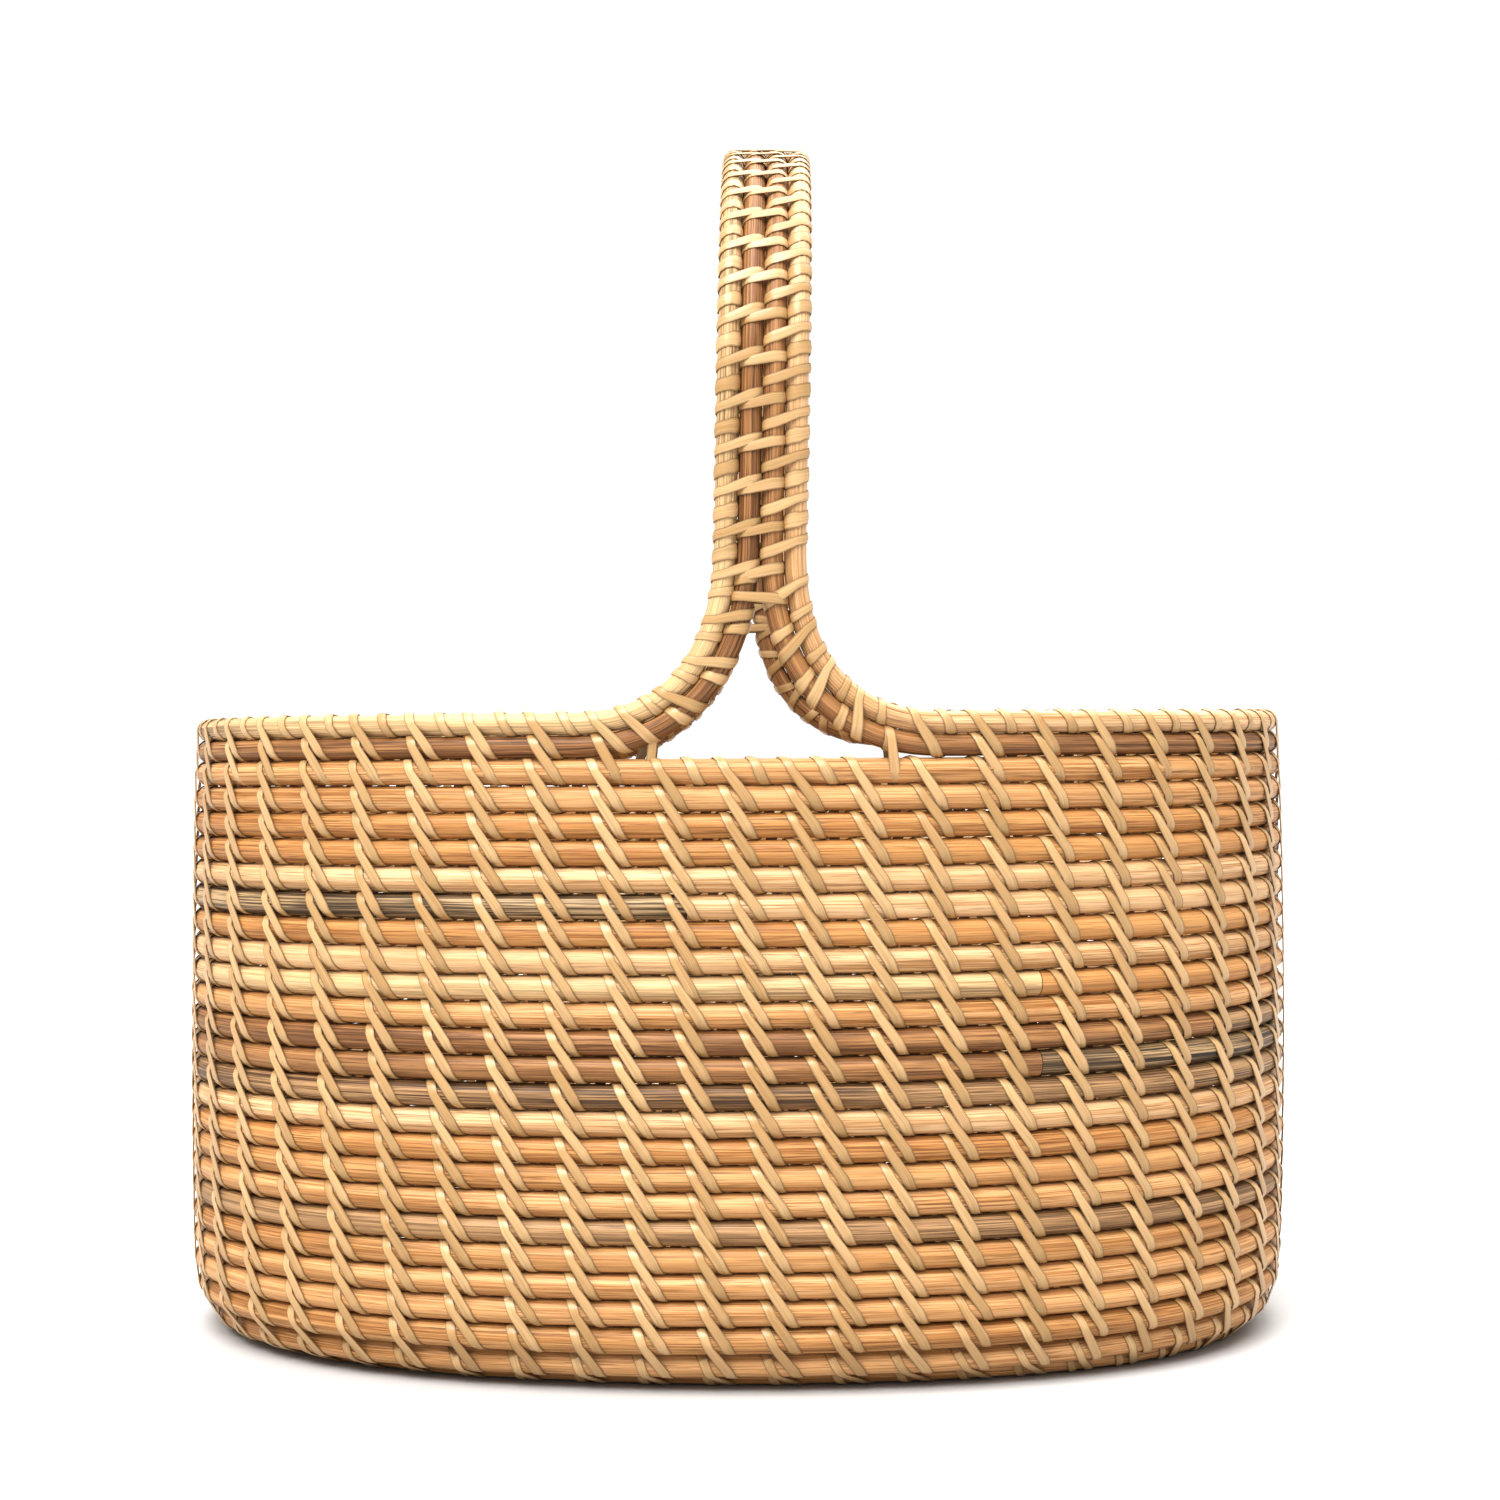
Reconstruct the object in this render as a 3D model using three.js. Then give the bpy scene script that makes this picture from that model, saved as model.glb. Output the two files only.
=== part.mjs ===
// An oval fruit basket coiled from round rattan cane, with a carrying handle of four canes that also make its rim.
// Millimetres, +Z up. The origin is on the surface that the basket stands on, under its middle.
// +X is the long way of the oval, and -Y is the front.
import * as THREE from "three";

// Cane
const caneDiameter = 7.5; // of the coiled base and wall
const rodDiameter = 6.7; // of the four canes of the rim and handle
const stripThickness = 0.4; // of the split cane that ties them
const stripWidth = 3.4;
const tieSlack = 0.8;

// Gaps between canes that lie side by side
const rowGap = 0.8; // between the rows of the wall, where the lashing passes
const leastBaseGap = 1.5; // at the sides and the ends of the oval, and less between them
const rimGap = 0.6; // between the top row of the wall and the rim
const rodGap = 0.4;
const endGap = 0.4; // between the butted ends of two canes

// Plan of the wall, to the middle of its canes
const wallHalfDepth = 114.25;
const endReach = 72; // how much longer the oval is than deep, to each end
const sideBow = 46; // 0 gives straight sides, and more gives rounder ones
const barrel = 1.3; // how much narrower the wall is at its top and foot than half way up
const toeIn = 2; // how much further its lowest rows step in
const footStep = 0.62; // share of a pitch of the base by which the first turn of the wall steps out as it climbs
const toeHeight = 5; // over which the steps die away

// Rows of the wall, counted from where the coil leaves the base at the middle of the back
const wallRows = 23;
const tailShort = 0.075; // share of a row by which the coil ends before the middle of the back

// Where one cane of the coil ends and the next begins: in rows up the wall, and in shares of the base from its middle,
// which are moved to the nearest long side of the oval.
const wallJoins = [
  -0.45, 1.02, 2.06, 2.97, 4.1, 4.95, 5.94, 7.03, 7.9, 9.05, 9.96, 10.97, 11.57, 12.05, 12.64, 13.03, 13.97, 14.57,
  15.03, 15.95, 16.92, 17.49, 18.96, 20.9, 22.61,
];
const baseJoins = [0.22, 0.39, 0.52, 0.65, 0.74, 0.87];
const coreStart = 0.22; // share of a turn from the end of the innermost oval to where the straight core cane starts

// Handle
const frontFootShift = 6.3; // off the middle of the basket, where the two sides of the rim meet
const backFootShift = 3.3;
const handleTopShift = 9.8;
const bendReach = 49; // along the rim, from where a pair of canes leaves it to where the pair stands upright
const bendRise = 57;
const looseBendReach = 64; // of the bend at the back on the left, which is wider and taller than the others
const looseBendRise = 70;
const bendFullness = 2.3; // 2 gives a round bend, and more gives a squarer one
const legLength = 51; // from the bends to where the legs begin to arch over
const archRise = 91;

// Ties at the gap under the handle
const crotchTieRise = 50; // above the rim

// Flat lengths that each curve is made of
const wallFacets = 32; // in a row
const baseFacets = 28;
const rodFacets = 56;
const rimPoints = 8; // from the end of the oval to each bend
const bendPoints = 7;
const archPoints = 10;

const caneTan = 0xd9a566;
const caneBrown = 0xb9793f;
const caneGrey = 0x9a8467;
const stripStraw = 0xe3bf7f;

const rowPitch = caneDiameter + rowGap;
const rodPitch = rodDiameter + rodGap;
const pairAboveRow = (caneDiameter + rodDiameter + rodPitch) / 2 + rimGap;
const coilEnd = wallRows - tailShort;
const footHalfDepth = wallHalfDepth - barrel - toeIn;
// The base has as many whole turns as fit. It starts with a straight run, a quarter of a pitch off the middle, so
// that the next run comes back beside it.
const baseTurns = Math.floor(footHalfDepth / (caneDiameter + leastBaseGap) - 0.75 - footStep);
const basePitch = footHalfDepth / (baseTurns + 0.75 + footStep);
const baseHalfDepth = footHalfDepth - footStep * basePitch;
const baseStart = coreStart - 0.75 - baseTurns;
const rimHalfDepth = wallHalfDepth - barrel;
const frontTurn = wallRows - 0.5; // where the top row passes the middle of the front
const pairHeight = coilHeight(frontTurn) + pairAboveRow;
const legTop = pairHeight + bendRise + legLength;

// The point of an oval of a given half depth at a share of a turn from the middle of the back,
// counter-clockwise from above. Every oval is the same distance outside the one within it.
function ovalPoint(halfDepth, turn, z) {
  const share = turn + 0.25;
  const direction = 2 * Math.PI * share + 0.18 * Math.sin(4 * Math.PI * share);
  const bow = sideBow * (halfDepth / wallHalfDepth) ** 2;
  const [c, s] = [Math.cos(direction), Math.sin(direction)];
  const reach = endReach + bow;
  const support = Math.hypot(reach * c, bow * s);
  const x = (halfDepth - bow + reach ** 2 / support) * c;
  const y = (halfDepth - bow + bow ** 2 / support) * s;
  return new THREE.Vector3(x, y, z);
}

function coilHeight(turn) {
  return caneDiameter / 2 + rowPitch * Math.max(turn, 0);
}

// The coil is a flat spiral below turn 0. In the next turn it climbs on to the wall.
function coilHalfDepth(turn) {
  if (turn < 0) return baseHalfDepth + basePitch * turn;
  if (turn < 1) return baseHalfDepth + footStep * basePitch * turn;
  const upWall = (coilHeight(turn) - coilHeight(1)) / (coilHeight(coilEnd) - coilHeight(1));
  const toe = toeIn * Math.exp(-((turn - 1) * rowPitch) / toeHeight);
  return wallHalfDepth - barrel * (2 * upWall - 1) ** 2 - toe;
}

function coilPoint(turn) {
  return ovalPoint(coilHalfDepth(turn), turn, coilHeight(turn));
}

// Points away from the middle of the basket, and over the arch of the handle.
function outwardAt(point) {
  const halfLength = rimHalfDepth + endReach;
  const overArch = Math.max(0, point.z - legTop) / archRise ** 2;
  return new THREE.Vector3(point.x / halfLength ** 2, point.y / rimHalfDepth ** 2, overArch);
}

// A path for a cane, which keeps the flat faces of the cane's section towards the canes on either side of it.
class CanePath extends THREE.Curve {
  constructor(pointAt) {
    super();
    this.pointAt = pointAt;
  }

  getPoint(t, target = new THREE.Vector3()) {
    return target.copy(this.pointAt(t));
  }

  getPointAt(u, target) {
    return this.getPoint(u, target);
  }

  getTangentAt(u, target) {
    return this.getTangent(u, target);
  }

  sidewaysAt(u) {
    return this.getTangentAt(u).cross(outwardAt(this.pointAt(u))).normalize();
  }

  computeFrenetFrames(segments) {
    const shares = Array.from({ length: segments + 1 }, (_, i) => i / segments);
    const tangents = shares.map((u) => this.getTangentAt(u));
    const normals = shares.map((u) => this.sidewaysAt(u));
    const binormals = normals.map((normal, i) => tangents[i].clone().cross(normal));
    return { tangents, normals, binormals };
  }
}

// The six-sided section of a cane: as wide and as much wood as the round one, with flat faces towards its neighbours.
function caneSection(diameter) {
  const radius = diameter / 2;
  const corner = (Math.PI / 2 - 1) * radius;
  return new THREE.Shape([
    new THREE.Vector2(-radius, -corner),
    new THREE.Vector2(0, -radius),
    new THREE.Vector2(radius, -corner),
    new THREE.Vector2(radius, corner),
    new THREE.Vector2(0, radius),
    new THREE.Vector2(-radius, corner),
  ]);
}

function cane(name, path, steps, diameter, color) {
  const geometry = new THREE.ExtrudeGeometry(caneSection(diameter), { steps, extrudePath: path, bevelEnabled: false });
  const mesh = new THREE.Mesh(geometry, new THREE.MeshStandardMaterial({ color, roughness: 0.55, metalness: 0 }));
  mesh.name = name;
  return mesh;
}

// One cane of the coil, which stops short of the next one. Its facets meet at the same shares of a turn in every row.
function coilCane(name, from, to, facetsInTurn, color) {
  const turnLength = 2 * Math.PI * coilHalfDepth(to) + 4 * endReach;
  const end = to - endGap / turnLength;
  const corners = [from];
  for (let i = Math.ceil(from * facetsInTurn + 0.1); i < end * facetsInTurn - 0.1; i++) corners.push(i / facetsInTurn);
  corners.push(end);
  const steps = corners.length - 1;
  const path = new CanePath((t) => {
    const before = THREE.MathUtils.clamp(Math.floor(t * steps), 0, steps - 1);
    return coilPoint(THREE.MathUtils.lerp(corners[before], corners[before + 1], t * steps - before));
  });
  return cane(name, path, steps, caneDiameter, color);
}

function handleMiddle(height, front) {
  const share = Math.max(0, height - pairHeight) / (legTop + archRise - pairHeight);
  return THREE.MathUtils.lerp(front ? frontFootShift : backFootShift, handleTopShift, share);
}

// Where the top row of the wall passes a given x, at the front or at the back of the -X side (-1) or the +X side (1).
function topTurnAt(x, side, front) {
  const isLow = (turn) => (front ? coilPoint(turn).x < x : coilPoint(turn).x > x);
  let [low, high] = front ? [frontTurn - 0.25, frontTurn + 0.25] : [frontTurn - 0.5, frontTurn - 0.25];
  if (!front && side > 0) [low, high] = [frontTurn + 0.25, frontTurn + 0.5];
  for (let i = 0; i < 40; i++) {
    const middle = (low + high) / 2;
    if (isLow(middle)) low = middle;
    else high = middle;
  }
  return (low + high) / 2;
}

// Where a pair of canes leaves the rim and bends up into the handle, with t from 0 at the rim to 1 upright.
function bendSize(side, front) {
  const loose = side < 0 && !front;
  return { reach: loose ? looseBendReach : bendReach, rise: loose ? looseBendRise : bendRise };
}

function bendPoint(side, front, t) {
  const angle = (t * Math.PI) / 2;
  const power = 2 / bendFullness;
  const { reach, rise } = bendSize(side, front);
  const rimX = bendStart(side, front);
  const rimTurn = topTurnAt(rimX, side, front);
  const height = coilHeight(rimTurn) + pairAboveRow + rise * (1 - Math.cos(angle) ** power);
  const lean = handleMiddle(height, front) - handleMiddle(pairHeight, front);
  const x = rimX + lean - side * reach * Math.sin(angle) ** power;
  const y = Math.abs(ovalPoint(rimHalfDepth, topTurnAt(x, Math.sign(x), front), height).y);
  return new THREE.Vector3(x, front ? -y : y, height);
}

function bendStart(side, front) {
  return handleMiddle(pairHeight, front) + side * (rodPitch + bendSize(side, front).reach);
}

// The middle line of the pair of canes on one side: from the end of the oval along the front of the rim, up, over the
// basket, down to the back of the rim, and round to the end of the oval again.
function pairLine(side) {
  const shares = (count) => Array.from({ length: count }, (_, i) => i / count);
  const ovalEnd = frontTurn + 0.25 * side;
  const rim = (front) => {
    const bendTurn = topTurnAt(bendStart(side, front), side, front);
    return shares(rimPoints).map((t) => {
      const turn = THREE.MathUtils.lerp(ovalEnd, bendTurn, t);
      return ovalPoint(rimHalfDepth, turn, coilHeight(turn) + pairAboveRow);
    });
  };
  const bend = (front) => shares(bendPoints).map((t) => bendPoint(side, front, t));
  const leg = (front) => {
    const foot = bendPoint(side, front, 1);
    return shares(2).map((t) => {
      const height = THREE.MathUtils.lerp(foot.z, legTop, t);
      return new THREE.Vector3(handleMiddle(height, front) + side * rodPitch, foot.y, height);
    });
  };
  const arch = shares(archPoints).map((t) => {
    const angle = t * Math.PI;
    const height = legTop + archRise * Math.sin(angle);
    const depth = Math.abs(bendPoint(side, true, 1).y);
    const middle = handleMiddle(height, t < 0.5);
    return new THREE.Vector3(middle + side * rodPitch, -depth * Math.cos(angle), height);
  });
  const backLegTop = new THREE.Vector3(handleMiddle(legTop, false) + side * rodPitch, -arch[0].y, legTop);
  const up = [...rim(true), ...bend(true), ...leg(true)];
  const down = [...rim(false), ...bend(false), ...leg(false)].reverse();
  const points = [...up, ...arch, backLegTop, ...down];
  points[0].y -= endGap;
  return new THREE.CatmullRomCurve3(points, false, "centripetal");
}

// One cane of a pair. The outer one is the upper one on the rim.
function handleCane(name, side, outer, color) {
  const line = pairLine(side);
  const middle = new CanePath((t) => line.getPointAt(t));
  const aside = ((outer ? side : -side) * rodPitch) / 2;
  const path = new CanePath((t) => middle.getPoint(t).addScaledVector(middle.sidewaysAt(t), aside));
  return cane(name, path, rodFacets, rodDiameter, color);
}

// A flat strip tied in a ring round canes, as a plate with a long hole. The hole is lengthways along the plate's X.
function tie(name, holeHalfLength, holeHalfWidth) {
  const outline = (halfLength, halfWidth) => {
    const cut = 0.6 * halfWidth;
    const corners = [
      [halfLength, halfWidth - cut],
      [halfLength - cut, halfWidth],
    ];
    const upper = [...corners, ...corners.map(([x, y]) => [-x, y]).reverse()];
    const lower = upper.map(([x, y]) => [-x, -y]);
    return [...upper, ...lower].map(([x, y]) => new THREE.Vector2(x, y));
  };
  const shape = new THREE.Shape(outline(holeHalfLength + stripThickness, holeHalfWidth + stripThickness));
  shape.holes.push(new THREE.Path(outline(holeHalfLength, holeHalfWidth)));
  const geometry = new THREE.ExtrudeGeometry(shape, { depth: stripWidth, bevelEnabled: false });
  geometry.translate(0, 0, -stripWidth / 2);
  const material = new THREE.MeshStandardMaterial({ color: stripStraw, roughness: 0.45, metalness: 0 });
  const mesh = new THREE.Mesh(geometry, material);
  mesh.name = name;
  return mesh;
}

// Draws the two pairs of canes together where they part.
function crotchTie(name, front) {
  const height = pairHeight + crotchTieRise;
  const lower = height - (stripWidth / 2 + rowPitch);
  const apart = (side) => {
    const { reach, rise } = bendSize(side, front);
    const upright = Math.acos(Math.max(0, 1 - (lower - pairHeight) / rise) ** (bendFullness / 2));
    return reach * (1 - Math.sin(upright) ** (2 / bendFullness));
  };
  const halfLength = 1.5 * rodPitch + rodDiameter / 2 + (apart(-1) + apart(1)) / 2 + tieSlack;
  const mesh = tie(name, halfLength, rodDiameter / 2 + tieSlack);
  const y = ovalPoint(rimHalfDepth, frontTurn, height).y;
  mesh.position.set(handleMiddle(height, front) + (apart(1) - apart(-1)) / 2, front ? y : -y, height);
  return mesh;
}

const basket = new THREE.Group();
basket.name = "oval_fruit_basket";

const base = new THREE.Group();
const baseEnds = [baseStart, ...baseJoins.map((share) => Math.round(2 * baseStart * (1 - share)) / 2), wallJoins[0]];
for (let i = 1; i < baseEnds.length; i++) {
  const name = i === 1 ? "base_core_cane" : `base_cane_${i - 1}`;
  base.add(coilCane(name, baseEnds[i - 1], baseEnds[i], baseFacets, caneTan));
}

const wall = new THREE.Group();
const wallEnds = [...wallJoins, coilEnd];
for (let i = 1; i < wallEnds.length; i++) {
  const number = String(i).padStart(2, "0");
  wall.add(coilCane(`wall_cane_${number}`, wallEnds[i - 1], wallEnds[i], wallFacets, caneTan));
}

const handle = new THREE.Group();
handle.add(handleCane("left_outer_handle_cane", -1, true, caneGrey));
handle.add(handleCane("left_inner_handle_cane", -1, false, caneBrown));
handle.add(handleCane("right_inner_handle_cane", 1, false, caneBrown));
handle.add(handleCane("right_outer_handle_cane", 1, true, caneTan));
handle.add(crotchTie("front_crotch_tie", true));
handle.add(crotchTie("back_crotch_tie", false));

basket.add(base, wall, handle);
export default basket;
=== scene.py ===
"""An oval fruit basket of round rattan cane, coiled row on row and lashed with flat split cane. Four more
canes make its rim and its handle. Metres, +Z up, -Y the front. The coil climbs counter-clockwise."""
import math
import random

import bpy
import numpy as np
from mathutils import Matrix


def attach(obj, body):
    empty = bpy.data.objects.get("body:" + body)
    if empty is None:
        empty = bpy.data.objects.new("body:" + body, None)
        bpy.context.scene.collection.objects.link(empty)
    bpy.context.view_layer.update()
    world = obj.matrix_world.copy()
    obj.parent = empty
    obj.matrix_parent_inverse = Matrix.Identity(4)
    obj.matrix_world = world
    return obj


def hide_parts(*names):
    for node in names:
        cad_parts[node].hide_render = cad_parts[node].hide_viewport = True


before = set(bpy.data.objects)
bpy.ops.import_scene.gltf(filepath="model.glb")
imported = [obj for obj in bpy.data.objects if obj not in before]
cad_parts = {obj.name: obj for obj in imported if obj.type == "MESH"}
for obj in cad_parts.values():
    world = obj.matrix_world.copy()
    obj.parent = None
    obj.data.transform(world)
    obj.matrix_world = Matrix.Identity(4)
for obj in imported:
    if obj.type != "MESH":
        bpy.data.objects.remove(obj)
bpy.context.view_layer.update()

MM = 0.001

# Cane and strip
CANE_WIDTH = 7.5 * MM
ROD_WIDTH = 6.7 * MM  # of the four canes of the rim and handle
CANE_SWELL = 0.5 * MM  # how much wider a real cane is than its gauge
ROD_SWELL = 0.25 * MM
ROW_GAP = 0.8 * MM
ROD_GAP = 0.4 * MM
RIM_GAP = 0.6 * MM
BUTT_GAP = 0.3 * MM  # between the ends of two canes
STRIP_WIDTH = 3.5 * MM
WIDE_STRIP = 5 * MM  # round the outer canes of the handle
STRIP_EDGE = 0.32 * MM  # thickness at its edges
STRIP_CROWN = 0.24 * MM  # how much thicker it is along its middle
STRIP_CLEARANCE = 0.05 * MM  # of the lashing over the cane

# Plan of the coil
WALL_HALF_DEPTH = 114.25 * MM
END_REACH = 72 * MM  # how much longer the oval is than deep, to each end
SIDE_BOW = 46 * MM  # 0 gives straight sides, and more gives rounder ones
EVENING_OUT = 0.18  # brings equal shares of a turn nearer to equal lengths round the oval
BARREL = 1.3 * MM  # how much narrower the wall is at its top and foot than half way up
TOE_IN = 2 * MM  # how much further its lowest rows step in
TOE_HEIGHT = 5 * MM
FOOT_STEP = 0.62  # share of the base's pitch by which the first turn of the wall steps out

# Rows of the coil. A turn number counts rows up the wall from the middle of the back, and is below 0 in
# the base.
WALL_ROWS = 23
COIL_END = WALL_ROWS - 0.075
WALL_JOINS = [
    -0.45, 1.02, 2.06, 2.97, 4.1, 4.95, 5.94, 7.03, 7.9, 9.05, 9.96, 10.97, 11.57, 12.05, 12.64, 13.03, 13.97,
    14.57, 15.03, 15.95, 16.92, 17.49, 18.96, 20.9, 22.61, COIL_END,
]
BASE_TURNS = 10
BASE_JOINS = [0.22, 0.39, 0.52, 0.65, 0.74, 0.87]  # in shares of the base from its middle
CORE_START = 0.22  # share of a turn from the end of the innermost oval to where the core cane starts
QUARTER_TURN = 0.25

# Handle
FRONT_FOOT_SHIFT = 6.3 * MM  # off the middle of the basket, towards +X
BACK_FOOT_SHIFT = 3.3 * MM
HANDLE_TOP_SHIFT = 9.8 * MM
BEND_REACH = 49 * MM  # along the rim, from where a pair of canes leaves it to where it stands upright
BEND_RISE = 57 * MM
LOOSE_BEND_REACH = 64 * MM  # of the bend at the back on the left
LOOSE_BEND_RISE = 70 * MM
BEND_FULLNESS = 2.3  # 2 gives a round bend, and more gives a squarer one
LEG_LENGTH = 51 * MM
ARCH_RISE = 91 * MM
TIE_RISE = 50 * MM  # of the ties at the handle's feet, above the rim

# Lashing. A stitch's lean is how far it moves along the canes over their outside.
STITCHES_IN_ROW = 49
COLUMN_DRIFT = 0.7 * MM  # of a column of stitches from each row to the row below it
LASHING_START = -0.9  # turn number where the base's lashing gives way to the wall's
STITCH_LEAN = 11.2 * MM
GAP_WRAP_LEAN = 5.6 * MM
RIM_STITCH_LEAN = 10 * MM
RIM_WRAP_LEAN = 5 * MM
RIM_TO_WALL_LEAN = 10.6 * MM
BRANCH_STEP = 13.5 * MM
BRANCH_STITCH_LEAN = 7.4 * MM
BRANCH_WRAP_LEAN = 2.8 * MM
HANDLE_STEP = 13 * MM
HANDLE_STITCH_LEAN = 5.6 * MM
HANDLE_WRAP_LEAN = 2.6 * MM
TIE_LEAN = 1.5 * MM
DROP_TIE_LEAN = 0.4 * MM
DROP_TIE_RADIUS = 1.6 * MM  # of the one on stretch a, which isn't spread round the canes
OVER_LASHING = 0.15 * MM  # by which a strip that crosses other lashing stands further out
TIE_OVER_LASHING = 0.4 * MM
RIM_END_ROOM = 3 * MM  # from the end of the rim's canes to the nearest strip
RIM_LASHING_STOPS = 21 * MM  # up the bend from its start
BRANCH_LASHING_STARTS = 16 * MM
WALL_STITCHES_STOP = {"a": 20 * MM, "b": 9 * MM}
DROP_TIE_AT = {"a": 24 * MM, "b": 15 * MM}
TIE_BELOW_HANDLE = {"front": 5 * MM, "back": 3 * MM}  # from where the handle's lashing starts
FRONT_GAP = (-28 * MM, 50 * MM)  # where the gap under the handle starts and ends, along X
BACK_GAP = (0.99, 0.865)  # in turns before the end of the coil
UNEVEN_ROW = 0.5 * MM  # how far a strip strays from its place along the cane
UNEVEN_BRANCH = 0.3 * MM
UNEVEN_HANDLE = 0.25 * MM

wide_cane = CANE_WIDTH + CANE_SWELL
wide_rod = ROD_WIDTH + ROD_SWELL
row_pitch = CANE_WIDTH + ROW_GAP
rod_pitch = ROD_WIDTH + ROD_GAP
cane_lashing = wide_cane / 2 + STRIP_CLEARANCE  # radius of the lashing's inner face
rod_lashing = wide_rod / 2 + STRIP_CLEARANCE
foot_half_depth = WALL_HALF_DEPTH - BARREL - TOE_IN
rim_half_depth = WALL_HALF_DEPTH - BARREL
base_pitch = foot_half_depth / (BASE_TURNS + 0.75 + FOOT_STEP)
base_half_depth = foot_half_depth - FOOT_STEP * base_pitch
base_start = CORE_START - 0.75 - BASE_TURNS
pair_above_row = (CANE_WIDTH + ROD_WIDTH + rod_pitch) / 2 + RIM_GAP
front_turn = WALL_ROWS - 2 * QUARTER_TURN


# ---- The lines that the canes follow ----

def facing(turn):
    """Direction in which the oval faces at a turn number."""
    share = np.asarray(turn, float) + QUARTER_TURN
    return 2 * np.pi * share + EVENING_OUT * np.sin(4 * np.pi * share)


def oval(half_depth, turn, height):
    c, s = np.cos(facing(turn)), np.sin(facing(turn))
    bow = SIDE_BOW * (half_depth / WALL_HALF_DEPTH) ** 2
    reach = END_REACH + bow
    support = np.hypot(reach * c, bow * s)
    x = (half_depth - bow + reach**2 / support) * c
    y = (half_depth - bow + bow**2 / support) * s
    return np.stack([x, y, height + 0 * x], axis=-1)


def coil_height(turn):
    return CANE_WIDTH / 2 + row_pitch * np.maximum(turn, 0)


def coil_half_depth(turn):
    turn = np.asarray(turn, float)
    up_wall = (turn - 1) / (COIL_END - 1)
    toe = TOE_IN * np.exp(-(np.maximum(turn, 1) - 1) * row_pitch / TOE_HEIGHT)
    wall = WALL_HALF_DEPTH - BARREL * (2 * up_wall - 1) ** 2 - toe
    step = np.where(turn < 0, 1, FOOT_STEP)
    return np.where(turn < 1, base_half_depth + base_pitch * step * turn, wall)


def coil(turn):
    turn = np.asarray(turn, float)
    return oval(coil_half_depth(turn), turn, coil_height(turn))


def distance_along(points):
    steps = np.linalg.norm(np.diff(points, axis=0), axis=1)
    return np.concatenate([[0], np.cumsum(steps)])


def unit(vectors):
    return vectors / np.linalg.norm(vectors, axis=-1, keepdims=True)


def read_off(x, along, values):
    """What the values, known at the distances along, come to at the distances x."""
    if values.ndim == 1:
        return np.interp(x, along, values)
    return np.stack([np.interp(x, along, values[:, i]) for i in range(3)], axis=-1)


class Lay:
    """Where straight work is laid: along two canes side by side. In straight work X runs along the canes.
    The middle of the upper one is at Y = Z = 0 and of the lower one at Z = -pitch. Y points outwards."""

    def __init__(self, along, upper, lower, pitch):
        self.along, self.upper, self.pitch = along, upper, pitch
        self.up = unit(upper - lower)
        self.apart = np.linalg.norm(upper - lower, axis=1)
        forward = unit(np.gradient(upper, axis=0))
        self.out = unit(np.cross(forward, self.up))

    def place(self, straight):
        x, y, z = straight[:, 0], straight[:, 1], straight[:, 2]
        towards_lower = np.clip(-z / self.pitch, 0, 1)
        rise = z - (read_off(x, self.along, self.apart) - self.pitch) * towards_lower
        up = unit(read_off(x, self.along, self.up))
        out = unit(read_off(x, self.along, self.out))
        return read_off(x, self.along, self.upper) + up * rise[:, None] + out * y[:, None]


# Distance round a row. All work on the wall is measured in it, so that the stitches stand in columns.
row_shares = np.linspace(0, 1, 1441)
row_distances = distance_along(oval(WALL_HALF_DEPTH, row_shares, 0))
row_length = row_distances[-1]
stitch_period = (row_length - COLUMN_DRIFT) / STITCHES_IN_ROW


def coil_distance(turn):
    """Distance along the coil from where it leaves the base."""
    whole = np.floor(turn)
    return whole * row_length + np.interp(turn - whole, row_shares, row_distances)


def coil_and_row_below(start, end):
    """Turn numbers from start to end, the coil at each of them, and the cane below it or inside it."""
    turns = np.arange(start, end, 0.0015)
    upper = coil(turns)
    inward = -np.stack([np.cos(facing(turns)), np.sin(facing(turns)), 0 * turns], axis=-1)
    innermost = (turns < base_start + 1)[:, None]
    lower = np.where(innermost, upper + base_pitch * inward, coil(turns - 1))
    return turns, upper, lower


wall_turns, wall_upper, wall_lower = coil_and_row_below(-1.0, WALL_ROWS + 0.1)
wall_lay = Lay(coil_distance(wall_turns), wall_upper, wall_lower, row_pitch)
base_turns, base_upper, base_lower = coil_and_row_below(base_start, 0.1)
base_distances = distance_along(base_upper)
base_lay = Lay(base_distances, base_upper, base_lower, row_pitch)


def base_distance(turn):
    return np.interp(turn, base_turns, base_distances)


def top_turn_at(x, side, front):
    """Turn number where the top row passes x at the front, or at the back on the -X (-1) or +X (1) side."""
    if front:
        start, end = front_turn - QUARTER_TURN, front_turn + QUARTER_TURN
    elif side < 0:
        start, end = front_turn - 2 * QUARTER_TURN, front_turn - QUARTER_TURN
    else:
        start, end = front_turn + QUARTER_TURN, front_turn + 2 * QUARTER_TURN
    turns = np.linspace(start, end, 800)
    across = coil(turns)[:, 0]
    order = 1 if front else -1
    return np.interp(order * np.asarray(x), order * across, turns)


pair_height = coil_height(front_turn) + pair_above_row
leg_top = pair_height + BEND_RISE + LEG_LENGTH


def handle_middle(height, front):
    """How far towards +X the middle of the handle is, at a height."""
    share = np.maximum(0, height - pair_height) / (leg_top + ARCH_RISE - pair_height)
    foot = np.where(front, FRONT_FOOT_SHIFT, BACK_FOOT_SHIFT)
    return foot + (HANDLE_TOP_SHIFT - foot) * share


def rim_points(from_turn, to_turn):
    turns = np.linspace(from_turn, to_turn, 160)
    return oval(rim_half_depth, turns, coil_height(turns) + pair_above_row), turns


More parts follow.
